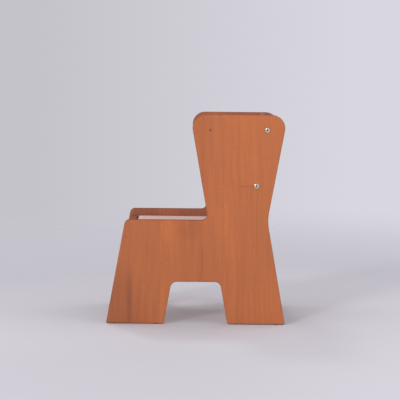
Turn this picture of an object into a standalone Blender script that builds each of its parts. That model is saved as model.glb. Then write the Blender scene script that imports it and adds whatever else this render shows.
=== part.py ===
"""Library step chair: a solid-sided chair whose backrest swings up and becomes a top step.

Two shaped side panels carry a padded seat on cleats, tied by a front and a rear rail.
The backrest board turns on a bolt through each side panel. A second bolt on each side
stands behind it, in a notch in the end of the board, and stops it at its sitting angle.
Swung forward and up, the board lies level between the sides. The same two bolts then go
into the spare holes at the front of the back and carry it there as the top step.

Units are metres. X runs across the chair, its front faces -Y, and Z is up. The origin is
on the floor, in the middle of the chair.
"""

import math

import bmesh
import bpy
from mathutils import Matrix, Vector

# Overall form of the side panels
OVERALL_HEIGHT = 0.800
OVERALL_WIDTH = 0.460
BASE_DEPTH = 0.684
SEAT_EDGE_HEIGHT = 0.400
BACK_TOP_DEPTH = 0.369
LEAN_ANGLE = math.radians(10.2)
PANEL_THICKNESS = 0.021
PANEL_EDGE_ROUND = 0.0025

# Corners of the side panels
TOP_CORNER_RADIUS = 0.050
SEAT_CORNER_RADIUS = 0.020
INNER_CORNER_RADIUS = 0.020
WAIST_RADIUS = 0.190
FOOT_CORNER_RADIUS = 0.004
ARCH_WIDTH = 0.244
ARCH_HEIGHT = 0.163
ARCH_CORNER_RADIUS = 0.025

# Seat: pad on a plywood board, board on two cleats
PAD_DROP = 0.029
PAD_THICKNESS = 0.028
PAD_CROWN = 0.005
PAD_DRAW_IN = 0.0025
PAD_SIDE_CLEARANCE = 0.0008
SEAT_BOARD_THICKNESS = 0.015
SEAT_BOARD_EDGE_ROUND = 0.0015
CLEAT_HEIGHT = 0.030
CLEAT_WIDTH = 0.022
CLEAT_END_CLEARANCE = 0.030
CLEAT_EDGE_ROUND = 0.002

# Front and rear rails between the side panels
RAIL_DROP = 0.028
RAIL_HEIGHT = 0.100
RAIL_THICKNESS = 0.028
RAIL_INSET = 0.007
RAIL_EDGE_ROUND = 0.003

# Backrest board and where its bolts stand
BOARD_THICKNESS = 0.028
BOARD_END_MARGIN = 0.056
BOARD_EDGE_ROUND = 0.005
PIVOT_DROP = 0.057

# Bolts, washers and threaded inserts
BOLT_RADIUS = 0.004
BOLT_HOLE_RADIUS = 0.0045
BOLT_HEAD_RADIUS = 0.010
BOLT_HEAD_HEIGHT = 0.005
BOLT_HEAD_RIM = 0.0012
BOLT_TIP_CHAMFER = 0.001
BOLT_SOCKET_WIDTH = 0.005
BOLT_SOCKET_DEPTH = 0.003
PIVOT_BOLT_LENGTH = 0.042
LOCK_TIP_LENGTH = 0.012
NOTCH_RADIUS = 0.005
NOTCH_END_CLEARANCE = 0.0015
WASHER_THICKNESS = 0.002
WASHER_RADIUS = 0.009
INSERT_RADIUS = 0.006
INSERT_BORE_RADIUS = 0.0043
INSERT_CHAMFER = 0.0006
PIVOT_INSERT_LENGTH = 0.020
PANEL_INSERT_LENGTH = 0.014

# Dowels in the rail ends
DOWEL_RADIUS = 0.004
DOWEL_LENGTH = 0.034
DOWEL_CHAMFER = 0.001
DOWEL_PANEL_DEPTH = 0.012
DOWEL_SPACING = 0.060

# Countersunk wood screws
SCREW_RADIUS = 0.002
SCREW_HEAD_RADIUS = 0.0042
SCREW_HEAD_HEIGHT = 0.0026
SCREW_HEAD_RIM = 0.0004
SCREW_POINT_LENGTH = 0.004
CLEAT_SCREW_LENGTH = 0.035
SEAT_SCREW_LENGTH = 0.038

# Nylon glides under the feet
GLIDE_PROUD = 0.002
GLIDE_RADIUS = 0.008
GLIDE_EDGE_ROUND = 0.0008
GLIDE_PEG_RADIUS = 0.0018
GLIDE_PEG_LENGTH = 0.012
GLIDE_EDGE_DISTANCE = 0.032

# Fits and cuts
GAP = 0.0003
CUT_OVERRUN = 0.002
ARC_TOLERANCE = 0.00012

# Counts
FINE_STEPS = 20
SMALL_STEPS = 12
DOME_STEPS = 4
PANEL_EDGE_SEGMENTS = 2
BOARD_EDGE_SEGMENTS = 3
PAD_CAGE_CELLS = 5
PAD_SUBDIVISIONS = 2

# Share of the back's height above the seat edge from a pivot bolt to its lock bolt
BOLT_REACH_SHARE = 0.5375

# Shares of a cleat's half length at which its outer screws and the seat's screws stand
CLEAT_SCREW_SHARE = 0.82
SEAT_SCREW_SHARE = 0.68

# Share of the half width at which the outer lines of the pad's cage lie
PAD_RIM_SHARE = 0.93

# Largest upward share of a face's normal that still counts as an upright face
UPRIGHT_FACE_SHARE = 0.5

# Finishes: sRGB colour, roughness, metallic
FINISHES = {
    "stained_beech": ("BB6F4D", 0.42, 0.0),
    "plain_beech": ("C9A27C", 0.60, 0.0),
    "birch_plywood": ("CDB08A", 0.65, 0.0),
    "vinyl": ("D6CDC6", 0.55, 0.0),
    "bright_nickel": ("D8D4CF", 0.18, 1.0),
    "zinc": ("A9A8A2", 0.40, 1.0),
    "nylon": ("3A3836", 0.50, 0.0),
    "white_nylon": ("D9D8D2", 0.45, 0.0),
}

# Places worked out from the sizes above
LEAN = math.tan(LEAN_ANGLE)
HALF_DEPTH = BASE_DEPTH / 2
PANEL_OUTER_X = OVERALL_WIDTH / 2
PANEL_INNER_X = PANEL_OUTER_X - PANEL_THICKNESS
PANEL_MIDDLE_X = PANEL_OUTER_X - PANEL_THICKNESS / 2
WAIST_HEIGHT = OVERALL_HEIGHT / 2
BACK_MIDDLE_Y = HALF_DEPTH - BACK_TOP_DEPTH / 2
BOLT_REACH = (OVERALL_HEIGHT - SEAT_EDGE_HEIGHT) * BOLT_REACH_SHARE
PIVOT_HEIGHT = OVERALL_HEIGHT - PIVOT_DROP
PIVOT_Y = BACK_MIDDLE_Y + BOLT_REACH / 2
STEP_HOLE_Y = BACK_MIDDLE_Y - BOLT_REACH / 2
LOCK_Y = PIVOT_Y - BOLT_REACH * math.sin(LEAN_ANGLE)
LOCK_HEIGHT = PIVOT_HEIGHT - BOLT_REACH * math.cos(LEAN_ANGLE)
BOARD_HALF_WIDTH = PANEL_INNER_X - WASHER_THICKNESS - 2 * GAP
BOARD_LENGTH = BOLT_REACH + 2 * BOARD_END_MARGIN
PAD_TOP_HEIGHT = SEAT_EDGE_HEIGHT - PAD_DROP
PAD_BASE_HEIGHT = PAD_TOP_HEIGHT - PAD_THICKNESS
SEAT_BOARD_TOP = PAD_BASE_HEIGHT - GAP
SEAT_BOARD_BASE = SEAT_BOARD_TOP - SEAT_BOARD_THICKNESS
CLEAT_TOP = SEAT_BOARD_BASE - GAP
CLEAT_MIDDLE_Z = CLEAT_TOP - CLEAT_HEIGHT / 2
CLEAT_OUTER_X = PANEL_INNER_X - GAP
CLEAT_INNER_X = CLEAT_OUTER_X - CLEAT_WIDTH
RAIL_TOP_HEIGHT = SEAT_EDGE_HEIGHT - RAIL_DROP
RAIL_BASE_HEIGHT = RAIL_TOP_HEIGHT - RAIL_HEIGHT
RAIL_MIDDLE_HEIGHT = RAIL_TOP_HEIGHT - RAIL_HEIGHT / 2
RAIL_HALF_WIDTH = PANEL_INNER_X - GAP

SIDES = {"left": -1, "right": 1}
ENDS = {"front": -1, "rear": 1}


def clear_scene():
    """Empty the file's scene, so that the chair stands alone in it."""
    for item in list(bpy.data.objects):
        bpy.data.objects.remove(item, do_unlink=True)


def make_collection(name):
    """Add a collection to the scene."""
    collection = bpy.data.collections.new(name)
    bpy.context.scene.collection.children.link(collection)
    return collection


def linear(channel):
    """Turn one sRGB channel, 0 to 1, into a linear one."""
    if channel <= 0.04045:
        return channel / 12.92
    return ((channel + 0.055) / 1.055) ** 2.4


def make_material(name, finish):
    """Principled material for one piece, from the table of finishes."""
    colour, roughness, metallic = FINISHES[finish]
    channels = [int(colour[place:place + 2], 16) / 255 for place in (0, 2, 4)]
    material = bpy.data.materials.new(f"{name}_{finish}")
    material.use_nodes = True
    shader = material.node_tree.nodes["Principled BSDF"]
    shader.inputs["Base Color"].default_value = [linear(value) for value in channels] + [1.0]
    shader.inputs["Roughness"].default_value = roughness
    shader.inputs["Metallic"].default_value = metallic
    return material


def add_piece(name, mesh, finish, parent=None):
    """Put a mesh in the chair's collection as a named piece with its own material."""
    piece = bpy.data.objects.new(name, mesh)
    CHAIR.objects.link(piece)
    piece.data.materials.clear()
    piece.data.materials.append(make_material(name, finish))
    piece.parent = parent
    return piece


def add_cutter(name, mesh):
    """Put a mesh in the cutters' collection, out of the render."""
    cutter = bpy.data.objects.new(name, mesh)
    CUTTERS.objects.link(cutter)
    cutter.hide_render = True
    cutter.display_type = "WIRE"
    return cutter


def cut(piece, cutters):
    """Cut a group of separate solids from a piece."""
    group = bpy.data.collections.new(f"{piece.name}_cutters")
    CUTTERS.children.link(group)
    for cutter in cutters:
        group.objects.link(cutter)
        CUTTERS.objects.unlink(cutter)
    modifier = piece.modifiers.new("holes", "BOOLEAN")
    modifier.operation = "DIFFERENCE"
    modifier.solver = "EXACT"
    modifier.operand_type = "COLLECTION"
    modifier.collection = group


def bevel_edges(piece, width, segments):
    """Round the sharp edges of a piece."""
    modifier = piece.modifiers.new("rounded_edges", "BEVEL")
    modifier.width = width
    modifier.segments = segments
    modifier.limit_method = "ANGLE"
    modifier.angle_limit = math.radians(40)
    modifier.use_clamp_overlap = False


def rounded_outline(corners):
    """Round the corners of an outline. Each corner is its two places and its radius."""
    points = []
    count = len(corners)
    for index, (across, up, radius) in enumerate(corners):
        corner = Vector((across, up))
        before = Vector(corners[index - 1][:2]) - corner
        after = Vector(corners[(index + 1) % count][:2]) - corner
        before.normalize()
        after.normalize()
        half_angle = before.angle(after) / 2
        middle = corner + (before + after).normalized() * (radius / math.sin(half_angle))
        start = corner + before * (radius / math.tan(half_angle)) - middle
        turn = math.pi - 2 * half_angle
        if before.cross(after) > 0:
            turn = -turn
        step = 2 * math.acos(1 - ARC_TOLERANCE / radius)
        steps = max(2, math.ceil(abs(turn) / step))
        for place in range(steps + 1):
            points.append(middle + Matrix.Rotation(turn * place / steps, 2) @ start)
    return points


def welded_mesh(source, name):
    """Mesh of an evaluated curve, with its loose caps joined to its walls."""
    graph = bpy.context.evaluated_depsgraph_get()
    mesh = bpy.data.meshes.new_from_object(source.evaluated_get(graph))
    mesh.name = name
    shape = bmesh.new()
    shape.from_mesh(mesh)
    bmesh.ops.remove_doubles(shape, verts=shape.verts, dist=GAP / 10)
    bmesh.ops.dissolve_limit(shape, angle_limit=math.radians(1), verts=shape.verts,
                             edges=shape.edges)
    bmesh.ops.recalc_face_normals(shape, faces=shape.faces)
    shape.to_mesh(mesh)
    shape.free()
    return mesh


def plate_mesh(name, outline, thickness):
    """Flat plate: an outline drawn in Y and Z, with its thickness along X, centred."""
    curve = bpy.data.curves.new(name + "_outline", "CURVE")
    curve.dimensions = "2D"
    curve.fill_mode = "BOTH"
    curve.extrude = thickness / 2
    spline = curve.splines.new("POLY")
    spline.points.add(len(outline) - 1)
    for point, place in zip(spline.points, outline):
        point.co = (place[0], place[1], 0, 1)
    spline.use_cyclic_u = True
    drawing = bpy.data.objects.new(name + "_outline", curve)
    CUTTERS.objects.link(drawing)
    bpy.context.view_layer.update()
    mesh = welded_mesh(drawing, name)
    bpy.data.objects.remove(drawing, do_unlink=True)
    upright = Matrix(((0, 0, 1), (1, 0, 0), (0, 1, 0))).to_4x4()
    mesh.transform(upright)
    return mesh


def block_mesh(name, size, middle=(0, 0, 0)):
    """Rectangular block of a given size about a given middle."""
    mesh = bpy.data.meshes.new(name)
    shape = bmesh.new()
    bmesh.ops.create_cube(shape, size=1)
    bmesh.ops.scale(shape, vec=size, verts=shape.verts)
    bmesh.ops.translate(shape, vec=middle, verts=shape.verts)
    shape.to_mesh(mesh)
    shape.free()
    return mesh


def rod_mesh(name, radius, length, sides):
    """Round rod along Z that starts at the origin."""
    mesh = bpy.data.meshes.new(name)
    shape = bmesh.new()
    bmesh.ops.create_cone(shape, cap_ends=True, segments=sides, radius1=radius,
                          radius2=radius, depth=length)
    bmesh.ops.translate(shape, vec=(0, 0, length / 2), verts=shape.verts)
    shape.to_mesh(mesh)
    shape.free()
    return mesh


def profile_mesh(name, profile, closed=False):
    """Line of points, radius and height, that a Screw modifier turns round Z."""
    mesh = bpy.data.meshes.new(name)
    shape = bmesh.new()
    points = [shape.verts.new((radius, 0, height)) for radius, height in profile]
    for first, second in zip(points, points[1:]):
        shape.edges.new((first, second))
    if closed:
        shape.edges.new((points[-1], points[0]))
    shape.to_mesh(mesh)
    shape.free()
    return mesh


def turn_profile(piece, steps):
    """Turn a piece's profile through a full circle and join its ends."""
    modifier = piece.modifiers.new("turned", "SCREW")
    modifier.steps = steps
    modifier.render_steps = steps
    modifier.use_merge_vertices = True
    modifier.merge_threshold = GAP / 10
    modifier.use_smooth_shade = True


def aim(piece, place, direction):
    """Put a piece's origin at a place and point its Z along a direction."""
    piece.location = place
    piece.rotation_mode = "QUATERNION"
    piece.rotation_quaternion = Vector(direction).to_track_quat("Z", "Y")


def drill(name, place, direction, hole, sides, parent=None):
    """Solid of a stepped round hole: each step is its radius and how deep it ends."""
    profile = [(0, CUT_OVERRUN)]
    start = CUT_OVERRUN
    for radius, depth in hole:
        profile += [(radius, start), (radius, -depth)]
        start = -depth
    profile.append((0, start))
    cutter = add_cutter(name, profile_mesh(name, profile))
    turn_profile(cutter, sides)
    aim(cutter, place, -Vector(direction))
    cutter.parent = parent
    return cutter


def front_edge_y(height):
    """Place of the side panel's front edge at a height, below the seat edge."""
    return -HALF_DEPTH + LEAN * height


def panel_outline():
    """Outline of a side panel, from the front foot's toe round to the arch."""
    base = GLIDE_PROUD
    arch_lean = LEAN * ARCH_HEIGHT
    seat_rise = OVERALL_HEIGHT - SEAT_EDGE_HEIGHT
    back_front_top = HALF_DEPTH - BACK_TOP_DEPTH
    corners = [
        (front_edge_y(base), base, FOOT_CORNER_RADIUS),
        (front_edge_y(SEAT_EDGE_HEIGHT), SEAT_EDGE_HEIGHT, SEAT_CORNER_RADIUS),
        (back_front_top + LEAN * seat_rise, SEAT_EDGE_HEIGHT, INNER_CORNER_RADIUS),
        (back_front_top, OVERALL_HEIGHT, TOP_CORNER_RADIUS),
        (HALF_DEPTH, OVERALL_HEIGHT, TOP_CORNER_RADIUS),
        (HALF_DEPTH - LEAN * WAIST_HEIGHT, WAIST_HEIGHT, WAIST_RADIUS),
        (-front_edge_y(base), base, FOOT_CORNER_RADIUS),
        (ARCH_WIDTH / 2 - LEAN * base, base, FOOT_CORNER_RADIUS),
        (ARCH_WIDTH / 2 - arch_lean, ARCH_HEIGHT, ARCH_CORNER_RADIUS),
        (arch_lean - ARCH_WIDTH / 2, ARCH_HEIGHT, ARCH_CORNER_RADIUS),
        (LEAN * base - ARCH_WIDTH / 2, base, FOOT_CORNER_RADIUS),
    ]
    return rounded_outline(corners)


def rail_centre(end, height):
    """Middle of a rail's thickness at a height, for the front rail or the rear one."""
    inward = (RAIL_INSET + RAIL_THICKNESS / 2) / math.cos(LEAN_ANGLE)
    return end * (-front_edge_y(height) - inward)


def dowel_places(end):
    """Places, Y and Z, of the lower and the upper dowel in each end of a rail."""
    heights = {"lower": RAIL_MIDDLE_HEIGHT - DOWEL_SPACING / 2,
               "upper": RAIL_MIDDLE_HEIGHT + DOWEL_SPACING / 2}
    return {level: (rail_centre(end, height), height) for level, height in heights.items()}


def seat_half_depth(height):
    """Half of the clear depth between the rails at a height."""
    return -rail_centre(-1, height) - RAIL_THICKNESS / math.cos(LEAN_ANGLE) / 2


def cleat_half_length():
    """Half of a cleat's length, which ends short of the rails."""
    return seat_half_depth(CLEAT_TOP) - CLEAT_END_CLEARANCE


def cleat_screw_places():
    """Places along Y of the screws that hold a cleat to its side panel."""
    outer = cleat_half_length() * CLEAT_SCREW_SHARE
    return {"front": -outer, "middle": 0, "rear": outer}


def seat_screw_places():
    """Places along Y of the screws that go up through a cleat into the seat board."""
    outer = cleat_half_length() * SEAT_SCREW_SHARE
    return {"front": -outer, "rear": outer}


def glide_places():
    """Places along Y of the glides, two under each foot."""
    toe = HALF_DEPTH - GLIDE_EDGE_DISTANCE
    heel = ARCH_WIDTH / 2 + GLIDE_EDGE_DISTANCE
    return {"front_outer": -toe, "front_inner": -heel, "rear_inner": heel, "rear_outer": toe}


def panel_holes(name, side):
    """Bolt holes, insert pockets, dowel holes, screw pilots and glide holes of a panel."""
    outward = (side, 0, 0)
    inner = side * PANEL_INNER_X
    through = (BOLT_HOLE_RADIUS, PANEL_THICKNESS + CUT_OVERRUN)
    pocket = (INSERT_RADIUS + GAP, PANEL_INSERT_LENGTH + GAP)
    bolt_holes = {"pivot": (PIVOT_Y, PIVOT_HEIGHT, [through]),
                  "lock": (LOCK_Y, LOCK_HEIGHT, [pocket, through]),
                  "step": (STEP_HOLE_Y, PIVOT_HEIGHT, [pocket, through])}
    holes = [drill(f"{name}_{use}_hole", (inner, y, z), outward, hole, FINE_STEPS)
             for use, (y, z, hole) in bolt_holes.items()]
    dowel_hole = [(DOWEL_RADIUS + GAP, DOWEL_PANEL_DEPTH + GAP)]
    for end_name, end in ENDS.items():
        for level, (y, z) in dowel_places(end).items():
            holes.append(drill(f"{name}_{end_name}_{level}_dowel_hole", (inner, y, z),
                               outward, dowel_hole, SMALL_STEPS))
    pilot = [(SCREW_RADIUS + GAP, CLEAT_SCREW_LENGTH - (PANEL_INNER_X - CLEAT_INNER_X) + GAP)]
    for where, y in cleat_screw_places().items():
        holes.append(drill(f"{name}_{where}_pilot", (inner, y, CLEAT_MIDDLE_Z), outward,
                           pilot, SMALL_STEPS))
    peg_hole = [(GLIDE_PEG_RADIUS + GAP, GLIDE_PEG_LENGTH + GAP)]
    for where, y in glide_places().items():
        holes.append(drill(f"{name}_{where}_peg_hole", (side * PANEL_MIDDLE_X, y, GLIDE_PROUD),
                           (0, 0, 1), peg_hole, SMALL_STEPS))
    return holes


def build_side_panels():
    """Side panels: one outline with the legs, the seat's side and the back's side."""
    outline = panel_outline()
    for side_name, side in SIDES.items():
        name = f"side_panel_{side_name}"
        panel = add_piece(name, plate_mesh(name, outline, PANEL_THICKNESS), "stained_beech")
        panel.location = (side * PANEL_MIDDLE_X, 0, 0)
        bevel_edges(panel, PANEL_EDGE_ROUND, PANEL_EDGE_SEGMENTS)
        cut(panel, panel_holes(name, side))


def build_rails():
    """Front and rear rails: level top and bottom edges, faces that lean with the sides."""
    for end_name, end in ENDS.items():
        half_run = RAIL_THICKNESS / math.cos(LEAN_ANGLE) / 2
        top = rail_centre(end, RAIL_TOP_HEIGHT)
        base = rail_centre(end, RAIL_BASE_HEIGHT)
        corners = [(base - half_run, RAIL_BASE_HEIGHT), (top - half_run, RAIL_TOP_HEIGHT),
                   (top + half_run, RAIL_TOP_HEIGHT), (base + half_run, RAIL_BASE_HEIGHT)]
        name = f"{end_name}_rail"
        rail = add_piece(name, plate_mesh(name, corners, 2 * RAIL_HALF_WIDTH), "stained_beech")
        bevel_edges(rail, RAIL_EDGE_ROUND, PANEL_EDGE_SEGMENTS)
        dowel_hole = [(DOWEL_RADIUS + GAP, DOWEL_LENGTH - DOWEL_PANEL_DEPTH + GAP)]
        holes = []
        for side_name, side in SIDES.items():
            for level, (y, z) in dowel_places(end).items():
                holes.append(drill(f"{name}_{side_name}_{level}_dowel_hole",
                                   (side * RAIL_HALF_WIDTH, y, z), (-side, 0, 0),
                                   dowel_hole, SMALL_STEPS))
        cut(rail, holes)


def build_dowels():
    """Dowels that join the rails to the side panels, two at each rail end."""
    profile = [(0, DOWEL_LENGTH), (DOWEL_RADIUS - DOWEL_CHAMFER, DOWEL_LENGTH),
               (DOWEL_RADIUS, DOWEL_LENGTH - DOWEL_CHAMFER), (DOWEL_RADIUS, DOWEL_CHAMFER),
               (DOWEL_RADIUS - DOWEL_CHAMFER, 0), (0, 0)]
    mesh_name = "rail_dowel"
    for end_name, end in ENDS.items():
        for side_name, side in SIDES.items():
            for level, (y, z) in dowel_places(end).items():
                name = f"{end_name}_rail_dowel_{side_name}_{level}"
                dowel = add_piece(name, profile_mesh(mesh_name, profile), "plain_beech")
                turn_profile(dowel, SMALL_STEPS)
                outer = side * (PANEL_INNER_X + DOWEL_PANEL_DEPTH)
                aim(dowel, (outer, y, z), (-side, 0, 0))


def screw_profile(length):
    """Countersunk screw: head face at the origin, point at minus its length."""
    return [(0, 0), (SCREW_HEAD_RADIUS, 0), (SCREW_HEAD_RADIUS, -SCREW_HEAD_RIM),
            (SCREW_RADIUS, -SCREW_HEAD_HEIGHT), (SCREW_RADIUS, SCREW_POINT_LENGTH - length),
            (0, -length)]


def screw_hole(name, place, direction, depth):
    """Solid of a clearance hole and countersink for a screw whose head ends at a place."""
    wide = SCREW_HEAD_RADIUS + GAP
    narrow = SCREW_RADIUS + GAP
    profile = [(0, CUT_OVERRUN), (wide, CUT_OVERRUN), (wide, -SCREW_HEAD_RIM - GAP),
               (narrow, -SCREW_HEAD_HEIGHT - GAP), (narrow, -depth), (0, -depth)]
    cutter = add_cutter(f"{name}_hole", profile_mesh(f"{name}_hole", profile))
    turn_profile(cutter, SMALL_STEPS)
    aim(cutter, place, -Vector(direction))
    return cutter


def add_screw(name, length, place, direction):
    """One countersunk screw whose head lies at a place and whose point leads the way in."""
    screw = add_piece(name, profile_mesh(name, screw_profile(length)), "zinc")
    turn_profile(screw, SMALL_STEPS)
    aim(screw, place, -Vector(direction))


def build_cleats():
    """Cleats under the seat board, with their screws into the side panels."""
    size = (CLEAT_WIDTH, 2 * cleat_half_length(), CLEAT_HEIGHT)
    for side_name, side in SIDES.items():
        name = f"seat_cleat_{side_name}"
        middle_x = side * (CLEAT_OUTER_X - CLEAT_WIDTH / 2)
        cleat = add_piece(name, block_mesh(name, size), "plain_beech")
        cleat.location = (middle_x, 0, CLEAT_MIDDLE_Z)
        bevel_edges(cleat, CLEAT_EDGE_ROUND, 1)
        holes = []
        for where, y in cleat_screw_places().items():
            place = (side * CLEAT_INNER_X, y, CLEAT_MIDDLE_Z)
            screw_name = f"cleat_screw_{side_name}_{where}"
            holes.append(screw_hole(screw_name, place, (side, 0, 0),
                                    CLEAT_WIDTH + CUT_OVERRUN))
            add_screw(screw_name, CLEAT_SCREW_LENGTH, place, (side, 0, 0))
        for where, y in seat_screw_places().items():
            place = (middle_x, y, CLEAT_TOP - CLEAT_HEIGHT)
            screw_name = f"seat_screw_{side_name}_{where}"
            holes.append(screw_hole(screw_name, place, (0, 0, 1),
                                    CLEAT_HEIGHT + CUT_OVERRUN))
            add_screw(screw_name, SEAT_SCREW_LENGTH, place, (0, 0, 1))
        cut(cleat, holes)


def build_seat():
    """Seat board of plywood with its screw pilots, and the pad that covers it."""
    half_width = PANEL_INNER_X - GAP
    half_depth = seat_half_depth(SEAT_BOARD_TOP) - GAP
    size = (2 * half_width, 2 * half_depth, SEAT_BOARD_THICKNESS)
    board = add_piece("seat_board", block_mesh("seat_board", size), "birch_plywood")
    board.location = (0, 0, SEAT_BOARD_TOP - SEAT_BOARD_THICKNESS / 2)
    bevel_edges(board, SEAT_BOARD_EDGE_ROUND, 1)
    pilot = [(SCREW_RADIUS + GAP, SEAT_SCREW_LENGTH - CLEAT_HEIGHT)]
    holes = []
    for side_name, side in SIDES.items():
        for where, y in seat_screw_places().items():
            place = (side * (CLEAT_OUTER_X - CLEAT_WIDTH / 2), y, SEAT_BOARD_BASE)
            holes.append(drill(f"seat_board_pilot_{side_name}_{where}", place, (0, 0, 1),
                               pilot, SMALL_STEPS))
    cut(board, holes)
    pad = add_piece("seat_pad", pad_mesh(), "vinyl")
    pad.location = (0, 0, PAD_BASE_HEIGHT)
    smoothing = pad.modifiers.new("soft_form", "SUBSURF")
    smoothing.levels = PAD_SUBDIVISIONS
    smoothing.render_levels = PAD_SUBDIVISIONS


def pad_mesh():
    """Coarse cage of the pad: a slab with a crown, sides drawn in and a flat base."""
    mesh = bpy.data.meshes.new("seat_pad")
    shape = bmesh.new()
    bmesh.ops.create_grid(shape, x_segments=PAD_CAGE_CELLS, y_segments=PAD_CAGE_CELLS, size=1)
    bmesh.ops.solidify(shape, geom=shape.faces, thickness=1)
    bmesh.ops.recalc_face_normals(shape, faces=shape.faces)
    heights = [vertex.co.z for vertex in shape.verts]
    middle = (min(heights) + max(heights)) / 2
    half_width = PANEL_INNER_X - PAD_SIDE_CLEARANCE
    half_depth = seat_half_depth(PAD_TOP_HEIGHT) - PAD_SIDE_CLEARANCE
    for vertex in shape.verts:
        across = vertex.co.x
        along = vertex.co.y
        upper = vertex.co.z > middle
        crown = PAD_CROWN * (1 - across ** 2) * (1 - along ** 2)
        draw_x = PAD_DRAW_IN * abs(across) ** 3 * (1 - along ** 2)
        draw_y = PAD_DRAW_IN * abs(along) ** 3 * (1 - across ** 2)
        vertex.co.x = math.copysign(spread(abs(across)) * half_width - draw_x, across)
        vertex.co.y = math.copysign(spread(abs(along)) * half_depth - draw_y, along)
        vertex.co.z = PAD_THICKNESS + crown if upper else 0
    crease_base(shape)
    shape.to_mesh(mesh)
    shape.free()
    return mesh


def spread(place):
    """Move the cage's inner lines out towards the rim, so that the rim stays tight."""
    line_share = 1 - 2 / PAD_CAGE_CELLS
    if place <= line_share:
        return place / line_share * PAD_RIM_SHARE
    return PAD_RIM_SHARE + (place - line_share) / (1 - line_share) * (1 - PAD_RIM_SHARE)


def crease_base(shape):
    """Keep the edge of the pad's flat base crisp under subdivision."""
    crease = shape.edges.layers.float.new("crease_edge")
    for edge in shape.edges:
        level = [abs(vertex.co.z) for vertex in edge.verts]
        rim = [face for face in edge.link_faces if abs(face.normal.z) < UPRIGHT_FACE_SHARE]
        if max(level) == 0 and rim:
            edge[crease] = 1


def build_glides():
    """Nylon glides: a low disc under the foot and a peg up into it."""
    profile = [(0, GLIDE_PEG_LENGTH), (GLIDE_PEG_RADIUS, GLIDE_PEG_LENGTH),
               (GLIDE_PEG_RADIUS, -GAP), (GLIDE_RADIUS, -GAP),
               (GLIDE_RADIUS, GLIDE_EDGE_ROUND - GLIDE_PROUD),
               (GLIDE_RADIUS - GLIDE_EDGE_ROUND, -GLIDE_PROUD), (0, -GLIDE_PROUD)]
    for side_name, side in SIDES.items():
        for where, y in glide_places().items():
            name = f"glide_{side_name}_{where}"
            glide = add_piece(name, profile_mesh(name, profile), "nylon")
            turn_profile(glide, SMALL_STEPS)
            glide.location = (side * PANEL_MIDDLE_X, y, GLIDE_PROUD)


def bolt_profile(length):
    """Domed bolt: head above the origin, shank below it."""
    dome = BOLT_HEAD_HEIGHT - BOLT_HEAD_RIM
    points = []
    for step in range(DOME_STEPS + 1):
        angle = math.pi / 2 * step / DOME_STEPS
        points.append((BOLT_HEAD_RADIUS * math.sin(angle),
                       BOLT_HEAD_RIM + dome * math.cos(angle)))
    points += [(BOLT_HEAD_RADIUS, 0), (BOLT_RADIUS, 0),
               (BOLT_RADIUS, BOLT_TIP_CHAMFER - length),
               (BOLT_RADIUS - BOLT_TIP_CHAMFER, -length), (0, -length)]
    return points


def build_bolt(name, length, place, side, parent=None):
    """One domed bolt with its hexagon socket, its head on the side panel's outer face."""
    bolt = add_piece(name, profile_mesh(name, bolt_profile(length)), "bright_nickel", parent)
    turn_profile(bolt, FINE_STEPS)
    aim(bolt, place, (side, 0, 0))
    corner_radius = BOLT_SOCKET_WIDTH / 2 / math.cos(math.pi / 6)
    socket_name = f"{name}_socket"
    socket = add_cutter(socket_name, rod_mesh(socket_name, corner_radius,
                        BOLT_SOCKET_DEPTH + CUT_OVERRUN, 6))
    socket.parent = bolt
    socket.location = (0, 0, BOLT_HEAD_HEIGHT - BOLT_SOCKET_DEPTH)
    cut(bolt, [socket])


def insert_profile(length):
    """Threaded insert: a sleeve with chamfered mouths, from its open face downwards."""
    return [(INSERT_BORE_RADIUS + INSERT_CHAMFER, 0), (INSERT_RADIUS, 0),
            (INSERT_RADIUS, INSERT_CHAMFER - length), (INSERT_RADIUS - INSERT_CHAMFER, -length),
            (INSERT_BORE_RADIUS, -length), (INSERT_BORE_RADIUS, -INSERT_CHAMFER)]


def build_insert(name, length, place, direction, parent=None):
    """One threaded insert whose open face is at a place and faces a direction."""
    mesh = profile_mesh(name, insert_profile(length), closed=True)
    sleeve = add_piece(name, mesh, "zinc", parent)
    turn_profile(sleeve, FINE_STEPS)
    aim(sleeve, place, direction)


def build_lock_hardware():
    """Bolts behind the board, their inserts, and the spare inserts for the step."""
    for side_name, side in SIDES.items():
        head_place = (side * (PANEL_OUTER_X + GAP), LOCK_Y, LOCK_HEIGHT)
        length = PANEL_THICKNESS + GAP + WASHER_THICKNESS + 2 * GAP + LOCK_TIP_LENGTH
        build_bolt(f"lock_bolt_{side_name}", length, head_place, side)
        inner = side * PANEL_INNER_X
        build_insert(f"lock_insert_{side_name}", PANEL_INSERT_LENGTH,
                     (inner, LOCK_Y, LOCK_HEIGHT), (-side, 0, 0))
        build_insert(f"step_insert_{side_name}", PANEL_INSERT_LENGTH,
                     (inner, STEP_HOLE_Y, PIVOT_HEIGHT), (-side, 0, 0))


def notch_outline():
    """Notch in the board's end: round at the bolt, open through the rear face."""
    seat_y = NOTCH_RADIUS - BOLT_RADIUS - GAP
    mouth_y = BOARD_THICKNESS / 2 + CUT_OVERRUN
    points = [(mouth_y, NOTCH_RADIUS - BOLT_REACH), (mouth_y, -NOTCH_RADIUS - BOLT_REACH)]
    half_turn = SMALL_STEPS // 2
    for step in range(half_turn + 1):
        angle = math.pi * step / half_turn
        points.append((seat_y - NOTCH_RADIUS * math.sin(angle),
                       -BOLT_REACH - NOTCH_RADIUS * math.cos(angle)))
    return points


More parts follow.
